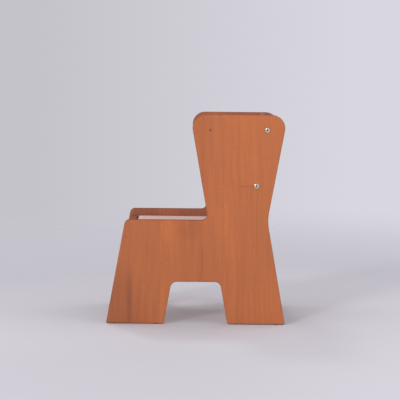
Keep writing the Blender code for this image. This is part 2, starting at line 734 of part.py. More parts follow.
def build_backrest():
    """Backrest board on its pivot: notches, inserts, washers and pivot bolts."""
    pivot = bpy.data.objects.new("backrest_pivot", None)
    CHAIR.objects.link(pivot)
    pivot.location = (0, PIVOT_Y, PIVOT_HEIGHT)
    pivot.rotation_euler = (-LEAN_ANGLE, 0, 0)
    size = (2 * BOARD_HALF_WIDTH, BOARD_THICKNESS, BOARD_LENGTH)
    middle = (0, 0, -BOLT_REACH / 2)
    board = add_piece("backrest_board", block_mesh("backrest_board", size, middle),
                      "stained_beech", pivot)
    bevel_edges(board, BOARD_EDGE_ROUND, BOARD_EDGE_SEGMENTS)
    notch_depth = LOCK_TIP_LENGTH + NOTCH_END_CLEARANCE
    cuts = []
    for side_name, side in SIDES.items():
        notch_name = f"backrest_notch_{side_name}"
        notch = add_cutter(notch_name, plate_mesh(notch_name, notch_outline(), 2 * notch_depth))
        notch.parent = pivot
        notch.location = (side * BOARD_HALF_WIDTH, 0, 0)
        end_place = (side * BOARD_HALF_WIDTH, 0, 0)
        pocket = drill(f"backrest_pocket_{side_name}", end_place, (-side, 0, 0),
                       [(INSERT_RADIUS + GAP, PIVOT_INSERT_LENGTH + GAP)], FINE_STEPS, pivot)
        cuts += [notch, pocket]
        build_insert(f"pivot_insert_{side_name}", PIVOT_INSERT_LENGTH, end_place,
                     (side, 0, 0), pivot)
        washer = add_piece(f"pivot_washer_{side_name}",
                           profile_mesh(f"pivot_washer_{side_name}", washer_profile(),
                                        closed=True), "white_nylon", pivot)
        turn_profile(washer, FINE_STEPS)
        aim(washer, (side * (BOARD_HALF_WIDTH + GAP), 0, 0), (side, 0, 0))
        build_bolt(f"pivot_bolt_{side_name}", PIVOT_BOLT_LENGTH,
                   (side * (PANEL_OUTER_X + GAP), 0, 0), side, pivot)
    cut(board, cuts)


def washer_profile():
    """Flat washer: outer wall downwards, then back up its bore."""
    return [(BOLT_HOLE_RADIUS, WASHER_THICKNESS), (WASHER_RADIUS, WASHER_THICKNESS),
            (WASHER_RADIUS, 0), (BOLT_HOLE_RADIUS, 0)]


def shade_pieces():
    """Shade every piece smooth, with its true edges kept sharp."""
    for piece in CHAIR.objects:
        if piece.type == "MESH" and piece.data.polygons:
            piece.data.shade_smooth()
            piece.data.set_sharp_from_angle(angle=math.radians(30))


clear_scene()
CHAIR = make_collection("library_step_chair")
CUTTERS = make_collection("cutters")
build_side_panels()
build_rails()
build_dowels()
build_cleats()
build_seat()
build_backrest()
build_lock_hardware()
build_glides()
shade_pieces()
bpy.context.view_layer.update()
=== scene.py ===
"""Looks of the library step chair, laid out as a Blender add-on and run as a script.

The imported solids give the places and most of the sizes. Each operator dresses one group of
pieces: it builds a finer mesh of the same form, or keeps the solid, and gives it its material.
Units are metres. The chair faces -Y, and its left and right are as seen from its front.
"""

import math
from functools import partial

import bmesh
import bpy
from bpy.props import FloatProperty, FloatVectorProperty, PointerProperty
from mathutils import Matrix, Vector


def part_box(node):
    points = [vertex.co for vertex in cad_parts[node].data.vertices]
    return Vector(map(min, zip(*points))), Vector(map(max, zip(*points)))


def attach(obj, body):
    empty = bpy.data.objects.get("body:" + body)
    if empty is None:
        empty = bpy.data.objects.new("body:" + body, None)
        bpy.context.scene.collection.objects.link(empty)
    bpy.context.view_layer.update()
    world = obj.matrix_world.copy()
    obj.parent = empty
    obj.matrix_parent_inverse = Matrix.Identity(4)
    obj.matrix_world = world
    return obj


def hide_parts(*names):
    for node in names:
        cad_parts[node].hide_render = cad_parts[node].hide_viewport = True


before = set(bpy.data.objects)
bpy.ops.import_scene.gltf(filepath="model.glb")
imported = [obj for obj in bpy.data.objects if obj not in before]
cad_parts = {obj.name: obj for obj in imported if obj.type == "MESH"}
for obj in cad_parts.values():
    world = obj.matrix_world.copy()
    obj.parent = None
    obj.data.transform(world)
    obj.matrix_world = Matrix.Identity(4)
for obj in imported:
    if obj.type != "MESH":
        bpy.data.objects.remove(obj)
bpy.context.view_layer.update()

bl_info = {
    "name": "Library Step Chair",
    "version": (1, 0, 0),
    "blender": (4, 5, 0),
    "location": "3D View > Sidebar > Step Chair",
    "description": "Dresses a library step chair with its wood, pad and metal fittings",
    "category": "Object",
}

SIDES = {"left": -1, "right": 1}
ENDS = {"front": -1, "rear": 1}

# Mesh detail
ARC_STEP_ANGLE = math.radians(6)
ARC_LEAST_STEPS = 4
EDGE_SEGMENTS = 4
ROUND_STEPS = 48
SMALL_ROUND_STEPS = 32
DOME_STEPS = 10
SQUARE_ANGLE = math.radians(50)
SHARP_ANGLE = math.radians(35)
CUT_OVERRUN = 0.001
MERGE_DISTANCE = 1e-6

# Fittings, as in the solids
FIT_GAP = 0.0003
BOLT_RADIUS = 0.004
BOLT_HOLE_RADIUS = 0.0045
BOLT_RIM = 0.0012
BOLT_HEAD_HEIGHT = 0.005
SOCKET_ACROSS = 0.005
SOCKET_DEPTH = 0.003
BOARD_THICKNESS = 0.028
BOARD_END_MARGIN = 0.056
NOTCH_RADIUS = 0.005
NOTCH_DEPTH = 0.0135

# Threads and eased rims, finer than in the solids
HOLE_RIM = 0.0006
THREAD_PITCH = 0.00125
THREAD_DEPTH = 0.0005
THREAD_LENGTH = 0.008
SCREW_PITCH = 0.0018

# Screws and glides, as shares of the radius of their head
SCREW_RIM = 0.1
SCREW_SHANK = 0.48
SCREW_NECK = 0.62
SCREW_THREAD = 0.144
RECESS_WIDE = 1.1
RECESS_THIN = 0.22
RECESS_DEEP = 0.45
GLIDE_PEG = 0.22
GLIDE_DISH = 0.2

# Swelling of the pad
VOXEL = 0.005
SWELL_FRAMES = 20
SWELL_PRESSURE = 4.0
SWELL_CAP = 0.007
SWELL_START = 0.009
SIDE_SQUEEZE = 0.0045
END_SQUEEZE = 0.018


def linear(code):
    """Linear colour, with alpha 1, of an sRGB hex value."""
    channels = [int(code[place:place + 2], 16) / 255 for place in (0, 2, 4)]
    return [value / 12.92 if value <= 0.04045 else ((value + 0.055) / 1.055) ** 2.4
            for value in channels] + [1.0]


def length(label, description, default):
    """Length setting in metres."""
    return FloatProperty(name=label, description=description, default=default, min=0.0,
                         unit="LENGTH", precision=4)


def colour(label, description, code):
    """Colour setting that starts from an sRGB hex value."""
    return FloatVectorProperty(name=label, description=description, default=linear(code),
                               size=4, min=0.0, max=1.0, subtype="COLOR")


def strength(label, description, default):
    """Strength setting of a light."""
    return FloatProperty(name=label, description=description, default=default, min=0.0)


class StepChairSizes(bpy.types.PropertyGroup):
    """Sizes that the solids' boxes don't give."""
    lean: FloatProperty(name="Lean", description="Lean of the sides' sloping edges",
                        default=math.radians(10.2), unit="ROTATION")
    seat_edge_height: length("Seat edge height", "Height of the sides beside the seat", 0.400)
    base_depth: length("Base depth", "Depth of the sides over their feet", 0.684)
    back_top_depth: length("Back top depth", "Depth of the sides at their top", 0.369)
    top_corner: length("Top corners", "Radius of the sides' top corners", 0.050)
    seat_corner: length("Seat corners", "Radius of the sides' corners at the seat", 0.020)
    waist: length("Waist", "Radius of the bend at the back of the sides", 0.190)
    foot_corner: length("Foot corners", "Radius of the feet's corners", 0.004)
    arch_width: length("Arch width", "Width of the arch at the floor", 0.244)
    arch_height: length("Arch height", "Height of the arch between the feet", 0.163)
    arch_corner: length("Arch corners", "Radius of the arch's corners", 0.025)
    panel_edge: length("Side edges", "Radius along the edges of the sides", 0.0025)
    rail_edge: length("Rail edges", "Radius along the edges of the rails", 0.003)
    board_edge: length("Backrest edges", "Radius along the backrest's edges", 0.005)
    pad_edge: length("Pad edges", "Radius along the pad's upper edges", 0.003)


class StepChairColours(bpy.types.PropertyGroup):
    """Colours of the finishes."""
    wood_light: colour("Light stave", "Stained beech where it took little stain", "BE7043")
    wood_deep: colour("Deep stave", "Stained beech where it took most stain", "94583D")
    # The left side's colours are browner and darker than the right's: painted shade, as its inner
    # face lies in shade
    left_light_shaded: colour("Light stave, left", "The left side, which took the stain browner", "B26F4B")
    left_deep_shaded: colour("Deep stave, left", "Its staves that took most stain", "8A5743")
    plain_beech: colour("Plain beech", "Unfinished beech of the cleats", "C9A27C")
    plywood: colour("Plywood", "Birch face of the seat board", "CDB08A")
    vinyl: colour("Vinyl", "Coated fabric of the seat pad", "D1B4AD")
    nickel: colour("Nickel", "Bright plate of the bolts", "E3D5C9")
    zinc: colour("Zinc", "Dull plate of the screws and inserts", "A9A8A2")
    white_nylon: colour("White nylon", "Washers at the pivots", "D9D8D2")
    black_nylon: colour("Black nylon", "Glides under the feet", "3A3836")
    # The two floor colours paint light and shade: darker behind the chair, lighter before the
    # camera
    floor_back_shaded: colour("Floor behind", "Pale studio floor behind the chair", "BAB9BE")
    floor_front_lit: colour("Floor in front", "Pale studio floor before the camera", "CDCCD1")
    backdrop_left: colour("Backdrop left", "Background on the darker side", "C4C3CA")
    backdrop_right: colour("Backdrop right", "Background on the lighter side", "D8D7E0")


class StepChairStage(bpy.types.PropertyGroup):
    """Studio light around the chair."""
    horizon: strength("Horizon light", "Even light from low all round", 0.88)
    flank: strength("Flank light", "More of it from the front and the rear", 1.75)
    zenith: strength("Sky light", "Even light from above", 0.40)
    key: strength("Key light", "Light from the front, over the camera side", 0.78)
    far_key: strength("Far light", "Light from the front, over the far side", 0.42)


def feed(node, inputs):
    """Link the inputs that are given another node's output, and set the rest to their value."""
    for name, source in inputs.items():
        if isinstance(source, bpy.types.NodeSocket):
            node.id_data.links.new(source, node.inputs[name])
        else:
            node.inputs[name].default_value = source


def add_node(tree, kind, *inputs, out=0, stops=None, **settings):
    """Add a node with its settings, inputs and colour stops, and return one of its outputs.

    The inputs come in the order of the node's sockets, or in one dict by their names. The
    stops are their interpolation and each one's place and colour. An out of None returns
    all the outputs.
    """
    node = tree.nodes.new("ShaderNode" + kind)
    for name, value in settings.items():
        setattr(node, name, value)
    named = inputs and isinstance(inputs[0], dict)
    feed(node, inputs[0] if named else dict(enumerate(inputs)))
    if stops:
        ramp = node.color_ramp
        ramp.interpolation = stops[0]
        while len(ramp.elements) > 1:
            ramp.elements.remove(ramp.elements[-1])
        for index, (place, shade) in enumerate(stops[1]):
            stop = ramp.elements[0] if index == 0 else ramp.elements.new(place)
            stop.position = place
            stop.color = shade
    return node.outputs if out is None else node.outputs[out]


def start_material(name):
    """New material, with what adds its nodes, its shader and the place on the piece."""
    material = bpy.data.materials.new(name)
    material.use_nodes = True
    tree = material.node_tree
    add = partial(add_node, tree)
    return material, add, tree.nodes["Principled BSDF"], add("TexCoord", out="Object")


def dulled(add, tint, pattern, least):
    """Tint that keeps only a least share of its light where a pattern is low."""
    return layered(add, tint, (1.0, add("MapRange", {"Value": pattern, "To Min": least})))


def layered(add, tint, *layers):
    """Tint multiplied by layers, each of them its share and its shade."""
    for share, shade in layers:
        tint = add("Mix", {0: share, 6: tint, 7: shade}, out=2, data_type="RGBA",
                   blend_type="MULTIPLY")
    return tint


def fading(add, offset, near, far, start, end):
    """Value that changes softly from start to end between two lengths of an offset."""
    reach = add("VectorMath", offset, out="Value", operation="LENGTH")
    return add("MapRange", reach, near, far, start, end, interpolation_type="SMOOTHSTEP")


def squareness(add, axis):
    """How squarely the surface faces along an axis, from 0 to 1."""
    normal = add("TexCoord", out="Normal")
    share = add("VectorMath", normal, axis, out="Value", operation="DOT_PRODUCT")
    return add("Math", share, operation="ABSOLUTE")


# A wave texture of scale 1 repeats over this length
WAVE_PERIOD = 0.314
# How far apart the growth rings are, and how far they drift along a stave
RING_GAP = 0.016
RING_DRIFT = 0.05
# Two plies of 1.4 mm, one light and one dark on the board's edges
PLY_PAIR = 0.0028
# How far the grain wanders, and its width as a share of its length
GRAIN_SWAY = 0.03
GRAIN_ASPECT = 0.035
# Steps in the log from one stave to another, for the streaks and for the rings
STREAK_STEP = (7.3, 3.1, 5.7)
RING_STEP = (0.35, 0.21, 0.0)
TONE_MIDDLE = 0.43
# A mark is even up to this share of its size, and fades from there
MARK_CORE = 0.4
# Dark lines where staves meet side by side and end to end
GLUE_LINE_HALF = 0.0016
END_JOINT_CLEAR = 0.0018
END_JOINT_DARK = 0.0006
# Past an end joint the stave goes on with another piece of wood
NEXT_PIECE_SHIFT = 0.31
NEXT_PIECE_TONE = 0.10
# How squarely the surface faces out where the edges' darkening starts, and where it is full
EDGE_DARK_START = 0.98
EDGE_DARK_FULL = 0.7


def stave_stops(staves, low, high):
    """Stops that give each stave its tone, its own place in the log and its end joint."""
    return [((edge - low) / (high - low), (tone, shift, joint, 1.0))
            for edge, tone, shift, joint in staves]


def joint_stops(staves, low, high, shade):
    """Stops that draw a thin dark line where two staves meet."""
    clear = (1.0, 1.0, 1.0, 1.0)
    stops = [(0.0, clear)]
    for edge, *_ in staves[1:]:
        for offset, mark in ((-GLUE_LINE_HALF, clear), (0, shade), (GLUE_LINE_HALF, clear)):
            stops.append(((edge + offset - low) / (high - low), mark))
    return stops


def in_order(values, order):
    """Values across, through and along a piece, put back on its X, Y and Z."""
    vector = [0.0, 0.0, 0.0]
    for axis, value in zip(order, values):
        vector[axis] = value
    return vector


def wood_material(name, light, deep, order, staves, marks=(), tilt=0.0, stained=True):
    """Beech in glued staves, with its grain along one axis of the piece.

    order names the axes across the staves, through the thickness and along the grain.
    Each stave is its first edge across, its tone, its shift and the place of its end joint.
    Each mark is a soft patch: its middle and half size across and along, and its change.
    """
    # Stain and a thin satin lacquer: an even orange brown, a soft sheen and faint pores.
    # Planed and left bare, beech is pale and dull, with the same grain
    material, add, shader, coords = start_material(name)
    low = staves[0][0]
    high = -low
    leant = add("Mapping", {"Vector": coords, "Rotation": (tilt, 0, 0)})
    parts = add("SeparateXYZ", leant, out=None)
    across, depth, along = (parts[axis] for axis in order)

    # Which stave a point is in, and whether it is past that stave's end joint
    place = add("MapRange", across, low, high)
    stave = add("ValToRGB", place, stops=("CONSTANT", stave_stops(staves, low, high)))
    tone, shift, joint = add("SeparateColor", stave, out=None)
    past = add("Math", along, joint, operation="GREATER_THAN")
    shift = add("Math", past, NEXT_PIECE_SHIFT, shift, operation="MULTIPLY_ADD")
    tone = add("Math", past, NEXT_PIECE_TONE, tone, operation="MULTIPLY_ADD")

    # Grain that wanders a few millimetres, in streaks about 10 mm wide and 300 mm long
    wander = add("TexNoise", {"Vector": leant, "Scale": 5.0, "Detail": 1.0})
    swayed = add("Math", wander, GRAIN_SWAY, across, operation="MULTIPLY_ADD")
    slow = add("Math", along, GRAIN_ASPECT, operation="MULTIPLY")
    fibre = add("CombineXYZ", swayed, depth, slow)
    fibre = add("VectorMath", shift, STREAK_STEP, fibre, operation="MULTIPLY_ADD")
    streaks = add("TexNoise", {"Vector": fibre, "Scale": 95.0, "Detail": 3.0})
    # Growth rings, about 16 mm apart on the face of a flat-sawn stave
    drift = add("Math", along, RING_DRIFT, depth, operation="MULTIPLY_ADD")
    log = add("CombineXYZ", swayed, drift)
    log = add("VectorMath", shift, RING_STEP, log, operation="MULTIPLY_ADD")
    rings = add("TexWave", {"Vector": log, "Scale": WAVE_PERIOD / RING_GAP, "Distortion": 3.0,
                            "Detail": 2.0, "Detail Scale": 0.6},
                out="Fac", wave_type="RINGS", rings_direction="Z", wave_profile="TRI")
    # Beech's short flecks are about 0.5 by 3 mm: drawn 1.2 by 11 mm so that they show
    short = add("Mapping", {"Vector": fibre, "Scale": (1.0, 1.0, 3.0)})
    flecks = add("TexNoise", {"Vector": short, "Scale": 850.0, "Detail": 1.0})
    # The stain clouds over about 170 mm
    blotch = add("TexNoise", {"Vector": leant, "Scale": 6.0, "Detail": 2.0})

    # Tone between the deep and the light stain
    for source, share in ((streaks, 0.48), (rings, 0.10), (blotch, 0.28)):
        tone = add("Math", source, share, tone, operation="MULTIPLY_ADD")
    level = add("Math", tone, TONE_MIDDLE, operation="SUBTRACT")
    for middle, height, half_wide, half_high, change in marks:
        offset = add("VectorMath", leant, in_order((middle, 0, height), order),
                     operation="SUBTRACT")
        offset = add("VectorMath", offset, in_order((1 / half_wide, 0, 1 / half_high), order),
                     operation="MULTIPLY")
        patch = fading(add, offset, MARK_CORE, 1.0, change, 0.0)
        level = add("Math", level, patch, operation="ADD")
    body = add("Mix", {0: level, 6: deep, 7: light}, out=2, data_type="RGBA")

    # Flecks, glue lines, end joints, and a darker colour on the edges and the ends
    pores = add("ValToRGB", flecks,
                stops=("EASE", [(0.30, linear("F3EAE4")), (0.46, linear("FFFFFF"))]))
    lines = add("ValToRGB", place,
                stops=("LINEAR", joint_stops(staves, low, high, linear("F1E7E1"))))
    gap = add("Math", along, joint, operation="SUBTRACT")
    gap = add("Math", gap, operation="ABSOLUTE")
    gap = add("MapRange", gap, END_JOINT_CLEAR, END_JOINT_DARK)
    face = squareness(add, in_order((0, 1, 0), order))
    edge = add("MapRange", face, EDGE_DARK_START, EDGE_DARK_FULL)
    edge_darkening = linear("C2AC9B" if stained else "EADFD2")
    body = layered(add, body, (1.0, pores), (1.0, lines), (gap, linear("E2D4CB")),
                   (edge, edge_darkening))

    dull, bright = (0.68, 0.58) if stained else (0.78, 0.68)
    gloss = add("MapRange", streaks, 0.2, 0.8, dull, bright)
    relief = add("Bump", {"Height": flecks, "Strength": 0.25, "Distance": 0.0002})
    feed(shader, {"Base Color": body, "Roughness": gloss, "Normal": relief,
                  "Specular IOR Level": 0.15})
    return material


def vinyl_material(name, tint):
    """Vinyl-coated fabric, embossed with a fine hide grain."""
    # The soft coating takes a broad, leathery sheen, broken up by the creases of its grain
    material, add, shader, coords = start_material(name)
    # Grain cells of about 2.5 mm: the real ones are nearer 1 mm, too fine to show
    cells = add("TexVoronoi", {"Vector": coords, "Scale": 400.0}, feature="DISTANCE_TO_EDGE")
    crease = add("ValToRGB", cells, stops=("EASE", [(0.0, (0, 0, 0, 1)), (0.12, (1, 1, 1, 1))]))
    # Handling clouds it over about 70 mm
    cloud = add("TexNoise", {"Vector": coords, "Scale": 14.0, "Detail": 3.0})
    # The colour is darker in the grain's creases: painted shade
    body = dulled(add, dulled(add, tint, cloud, 0.94), crease, 0.93)
    relief = add("Bump", {"Height": crease, "Strength": 0.5, "Distance": 0.0003})
    feed(shader, {"Base Color": body, "Normal": relief, "Roughness": 0.5})
    return material


def metal_material(name, tint, roughness, speckle):
    """Plated steel: bright or dull by its roughness, with painted shade in its drive recess."""
    # Nickel plate over polished steel mirrors softly; zinc plate is greyer and duller
    material, add, shader, coords = start_material(name)
    # Handling marks of about 1 mm
    marks = add("TexNoise", {"Vector": coords, "Scale": 900.0, "Detail": 3.0})
    recess = add("Attribute", out="Fac", attribute_name="recess")
    plate = dulled(add, tint, marks, 1.0 - speckle)
    # Painted shade: faces marked as the drive recess turn to a dark brown
    body = add("Mix", {0: recess, 6: plate, 7: linear("3A322C")}, out=2, data_type="RGBA")
    gloss = add("MapRange", {"Value": marks, "To Min": roughness * 0.8, "To Max": roughness * 1.2})
    feed(shader, {"Base Color": body, "Roughness": gloss, "Metallic": 1.0})
    return material


def nylon_material(name, tint):
    """Moulded nylon with a faint spark-eroded texture."""
    # The mould leaves it even and half matt, a little waxy and never wet
    material, add, shader, coords = start_material(name)
    # Grit of about 0.7 mm: the real one is nearer 0.1 mm, too fine to show
    grit = add("TexNoise", {"Vector": coords, "Scale": 1500.0, "Detail": 2.0})
    relief = add("Bump", {"Height": grit, "Strength": 0.2, "Distance": 0.0001})
    feed(shader, {"Base Color": dulled(add, tint, grit, 0.9), "Normal": relief,
                  "Roughness": 0.45})
    return material


def plywood_material(name, tint):
    """Birch plywood: rotary-cut faces, and plies that show as bands on the edges."""
    # Peeled, sanded and left bare: pale and matt, with a wide, lazy figure
    material, add, shader, coords = start_material(name)
    # The figure is about 17 mm wide and 330 mm long
    drawn = add("Mapping", {"Vector": coords, "Scale": (60.0, 3.0, 60.0)})
    grain = add("TexNoise", {"Vector": drawn, "Scale": 1.0, "Detail": 4.0, "Distortion": 0.6})
    figure = add("ValToRGB", grain,
                 stops=("LINEAR", [(0.3, linear("D9C9B4")), (0.7, linear("FFFFFF"))]))
    bands = add("TexWave", {"Vector": coords, "Scale": WAVE_PERIOD / PLY_PAIR}, out="Fac",
                bands_direction="Z")
    ply = add("MapRange", {"Value": bands, "To Min": 0.72})
    ply = add("Math", ply, squareness(add, (0.0, 0.0, 1.0)), operation="MAXIMUM")
    body = layered(add, tint, (1.0, figure), (1.0, ply))
    feed(shader, {"Base Color": body, "Roughness": 0.7})
    return material


def save_shape(name, shape):
    """Object of a finished shape, with its faces turned outwards."""
    bmesh.ops.recalc_face_normals(shape, faces=shape.faces)
    mesh = bpy.data.meshes.new(name)
    shape.to_mesh(mesh)
    shape.free()
    piece = bpy.data.objects.new(name, mesh)
    bpy.context.scene.collection.objects.link(piece)
    return piece


def dress(piece, material, body, solid, rigid=True):
    """Give a piece its shading and material, and let it stand for a solid on its body.

    A rigid piece keeps its true edges sharp and its flat faces flat.
    """
    piece.data.materials.clear()
    piece.data.materials.append(material)
    piece.data.shade_smooth()
    if rigid:
        piece.data.set_sharp_from_angle(angle=SHARP_ANGLE)
        piece.modifiers.new("flat_faces_stay_flat", "WEIGHTED_NORMAL").keep_sharp = True
    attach(piece, body)
    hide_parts(solid)


def apply_modifiers(piece):
    """Make a piece's modifiers a part of its mesh."""
    graph = bpy.context.evaluated_depsgraph_get()
    mesh = bpy.data.meshes.new_from_object(piece.evaluated_get(graph))
    piece.modifiers.clear()
    piece.data = mesh


def cut_away(piece, cutter):
    """Cut one shape, which may be of many separate parts, from a piece for good."""
    tool = save_shape(piece.name + "_cutter", cutter)
    modifier = piece.modifiers.new("cut", "BOOLEAN")
    modifier.operation = "DIFFERENCE"
    modifier.solver = "EXACT"
    modifier.object = tool
    apply_modifiers(piece)
    bpy.data.objects.remove(tool, do_unlink=True)
    if not piece.data.polygons:
        raise RuntimeError(f"{piece.name} was cut away whole")


def block(size, matrix):
    """Shape of a block about the origin, put in place."""
    shape = bmesh.new()
    bmesh.ops.create_cube(shape, size=1, matrix=matrix @ Matrix.Diagonal((*size, 1)))
    return shape


def draw_arc(shape, start, centre, angle, steps):
    """Draw an arc about X from a vertex, and return the vertex that it ends on."""
    swept = bmesh.ops.spin(shape, geom=[start], cent=centre, axis=(1, 0, 0), angle=angle,
                           steps=steps)
    return next(item for item in swept["geom_last"] if isinstance(item, bmesh.types.BMVert))


def extrude(shape, faces, distance):
    """Extrude faces along X."""
    swept = bmesh.ops.extrude_face_region(shape, geom=faces, use_keep_orig=True)
    far = [item for item in swept["geom"] if isinstance(item, bmesh.types.BMVert)]
    bmesh.ops.translate(shape, vec=(distance, 0, 0), verts=far)


def round_edges(shape, radius, segments=EDGE_SEGMENTS):
    """Round the square edges of a shape."""
    square = [edge for edge in shape.edges if edge.calc_face_angle(0) > SQUARE_ANGLE]
    bmesh.ops.bevel(shape, geom=square, offset=radius, segments=segments, profile=0.5,
                    affect="EDGES", material=-1, loop_slide=True)


def thicken(shape, thick, edge_round):
    """Make a flat shape a plate along X, and round its edges."""
    extrude(shape, shape.faces[:], thick)
    bmesh.ops.recalc_face_normals(shape, faces=shape.faces)
    round_edges(shape, edge_round)


def outline_loop(shape, corners, x):
    """Closed loop of rounded corners at one x. Each corner is its y, z and radius."""
    arcs = []
    for index, (y, z, radius) in enumerate(corners):
        corner = Vector((x, y, z))
        before = (Vector((x, *corners[index - 1][:2])) - corner).normalized()
        after = (Vector((x, *corners[(index + 1) % len(corners)][:2])) - corner).normalized()
        half_angle = before.angle(after) / 2
        middle = corner + (before + after).normalized() * (radius / math.sin(half_angle))
        start = shape.verts.new(corner + before * (radius / math.tan(half_angle)))
        turn = math.pi - 2 * half_angle
        steps = max(ARC_LEAST_STEPS, math.ceil(turn / ARC_STEP_ANGLE))
        if before.cross(after).x > 0:
            turn = -turn
        arcs.append((start, draw_arc(shape, start, middle, turn, steps)))
    for (_, last), (start, _) in zip(arcs, arcs[1:] + arcs[:1]):
        shape.edges.new((last, start))


def turned(shape, profile, matrix, steps=ROUND_STEPS):
    """Add a turned form: a profile of radius and height, spun about Z and put in place.

    A profile that starts off the axis is closed into a ring.
    """
    points = [shape.verts.new((radius, 0, height)) for radius, height in profile]
    ring = points[:1] if profile[0][0] > 0 else []
    edges = [shape.edges.new(pair) for pair in zip(points, points[1:] + ring)]
    before = set(shape.verts) - set(points)
    bmesh.ops.spin(shape, geom=points + edges, axis=(0, 0, 1), angle=math.tau, steps=steps,
                   use_merge=True)
    new = [vertex for vertex in shape.verts if vertex not in before]
    bmesh.ops.remove_doubles(shape, verts=new, dist=MERGE_DISTANCE)
    new = [vertex for vertex in shape.verts if vertex not in before]
    bmesh.ops.transform(shape, matrix=matrix, verts=new)


def turned_piece(name, profile, matrix, steps=ROUND_STEPS):
    """Object of one turned form."""
    shape = bmesh.new()
    turned(shape, profile, matrix, steps)
    return save_shape(name, shape)


def quarter(radius, height, wide, high, steps):
    """Profile of a quarter of an ellipse about a place, from its top outwards and down."""
    turns = [step / steps * math.pi / 2 for step in range(steps + 1)]
    return [(radius + wide * math.sin(turn), height + high * math.cos(turn)) for turn in turns]


def facing(place, direction):
    """Matrix that puts the origin at a place and points Z along a direction."""
    turn = Vector(direction).to_track_quat("Z", "Y").to_matrix().to_4x4()
    return Matrix.Translation(place) @ turn


def middle_of(node):
    """Middle of a solid's box."""
    low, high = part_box(node)
    return (low + high) / 2


def end_of(node, direction, inset=0.0):
    """Matrix at one end of a round solid along X or Z, and the solid's length and radius.

    The direction points out of that end, and the matrix lies an inset below it.
    """
    low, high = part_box(node)
    half = (high - low) / 2
    ahead = Vector(direction)
    reach = abs(half.dot(ahead))
    radius = half.z if ahead.x else half.x
    return facing(middle_of(node) + ahead * (reach - inset), ahead), 2 * reach, radius


def panel_corners(sizes):
    """Outline of a side, from the front toe over the seat and the back to the arch."""
    lean = math.tan(sizes.lean)
    low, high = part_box("side_panel_right")
    half = sizes.base_depth / 2
    seat = sizes.seat_edge_height
    arch = sizes.arch_width / 2
    top = sizes.arch_height
    back_front = half - sizes.back_top_depth
    waist = high.z / 2
    foot = sizes.foot_corner
    return [
        (lean * low.z - half, low.z, foot),
        (lean * seat - half, seat, sizes.seat_corner),
        (back_front + lean * (high.z - seat), seat, sizes.seat_corner),
        (back_front, high.z, sizes.top_corner),
        (half, high.z, sizes.top_corner),
        (half - lean * waist, waist, sizes.waist),
        (half - lean * low.z, low.z, foot),
        (arch - lean * low.z, low.z, foot),
        (arch - lean * top, top, sizes.arch_corner),
        (lean * top - arch, top, sizes.arch_corner),
        (lean * low.z - arch, low.z, foot),
    ]


# Staves of each side panel: first edge along Y, tone, place in the log, end joint height.
# The right panel, the near one in the photograph, follows the joints seen there.
PANEL_STAVES = {
    "right": [(-0.40, 0.58, 0.10, 1.0), (-0.139, 0.72, 0.37, 1.0), (-0.057, 0.64, 0.61, 1.0),
              (0.022, 0.68, 0.24, 1.0), (0.101, 0.74, 0.92, 1.0), (0.160, 0.70, 0.48, 0.531),
              (0.229, 0.70, 0.33, 1.0)],
    # The left panel's lower tones are painted shade as well
    "left": [(-0.40, 0.46, 0.42, 1.0), (-0.250, 0.40, 0.15, 1.0), (-0.160, 0.52, 0.77, 0.25),
             (-0.070, 0.44, 0.29, 1.0), (0.035, 0.54, 0.58, 0.61), (0.120, 0.46, 0.05, 1.0),
             (0.215, 0.52, 0.69, 1.0)],
}
# Darker and lighter patches seen on the near panel: middle along Y and height, half size
# each way, and the change in tone. The broad darker patch over the front foot is partly the
# wood and partly painted shade, where less light fell, and the darker patch high on the
# back is painted shade. The left panel's are its own, made up.
PANEL_MARKS = {
    "right": [(-0.254, 0.10, 0.014, 0.16, -0.25), (0.022, 0.23, 0.022, 0.10, -0.10),
              (0.100, 0.39, 0.035, 0.10, 0.12), (-0.108, 0.36, 0.035, 0.06, 0.14),
              (-0.025, 0.37, 0.060, 0.06, -0.16), (0.140, 0.21, 0.018, 0.26, 0.08),
              (-0.320, 0.00, 0.170, 0.30, -0.30), (0.025, 0.74, 0.060, 0.30, -0.13),
              (0.270, 0.05, 0.110, 0.20, 0.10), (-0.300, 0.36, 0.070, 0.08, -0.12)],
    "left": [(-0.15, 0.20, 0.02, 0.20, -0.20), (0.10, 0.60, 0.05, 0.20, 0.14),
             (0.20, 0.15, 0.03, 0.18, -0.14)],
}
# The rails, cleats and dowels are of one stave each
RAIL_STAVES = {"front": [(-1.0, 0.54, 0.33, 2.0)], "rear": [(-1.0, 0.60, 0.87, 2.0)]}
CLEAT_STAVES = [(-1.0, 0.5, 0.2, 2.0)]
DOWEL_STAVES = [(-1.0, 0.5, 0.6, 2.0)]
# The board's staves lie one above another, measured along its lean. The top stave's low
# tone is painted shade, where the board's top lies in shade between the sides
BOARD_STAVES = [(-1.0, 0.58, 0.71, 2.0), (0.545, 0.64, 0.13, 2.0), (0.625, 0.54, 0.52, 2.0),
                (0.715, 0.38, 0.94, 2.0)]
# Axes across the staves, through the thickness and along the grain
AXES = {"panel": (1, 0, 2), "board": (2, 1, 0), "cleat": (0, 2, 1)}


class DressSidePanels(bpy.types.Operator):
    """Build the two sides, with their bolt holes, in staves of stained beech"""
    bl_idname = "step_chair.side_panels"
    bl_label = "Side panels"

    def execute(self, context):
        sizes = context.scene.step_chair_sizes
        colours = context.scene.step_chair_colours
        # The left side's darker colours are painted shade
        stain_and_shade = {"left": (colours.left_light_shaded, colours.left_deep_shaded),
                  "right": (colours.wood_light, colours.wood_deep)}
        for side_name, side in SIDES.items():
            node = f"side_panel_{side_name}"
            low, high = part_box(node)
            shape = bmesh.new()
            outline_loop(shape, panel_corners(sizes), low.x)
            bmesh.ops.edgeloop_fill(shape, edges=shape.edges[:])
            thicken(shape, high.x - low.x, sizes.panel_edge)
            panel = save_shape(f"side_{side_name}", shape)
            cut_away(panel, panel_holes(side_name, side))
            material = wood_material(f"stained_beech_side_{side_name}", *stain_and_shade[side_name],
                                     AXES["panel"], PANEL_STAVES[side_name],
                                     PANEL_MARKS[side_name])
            dress(panel, material, "frame", node)
        return {"FINISHED"}


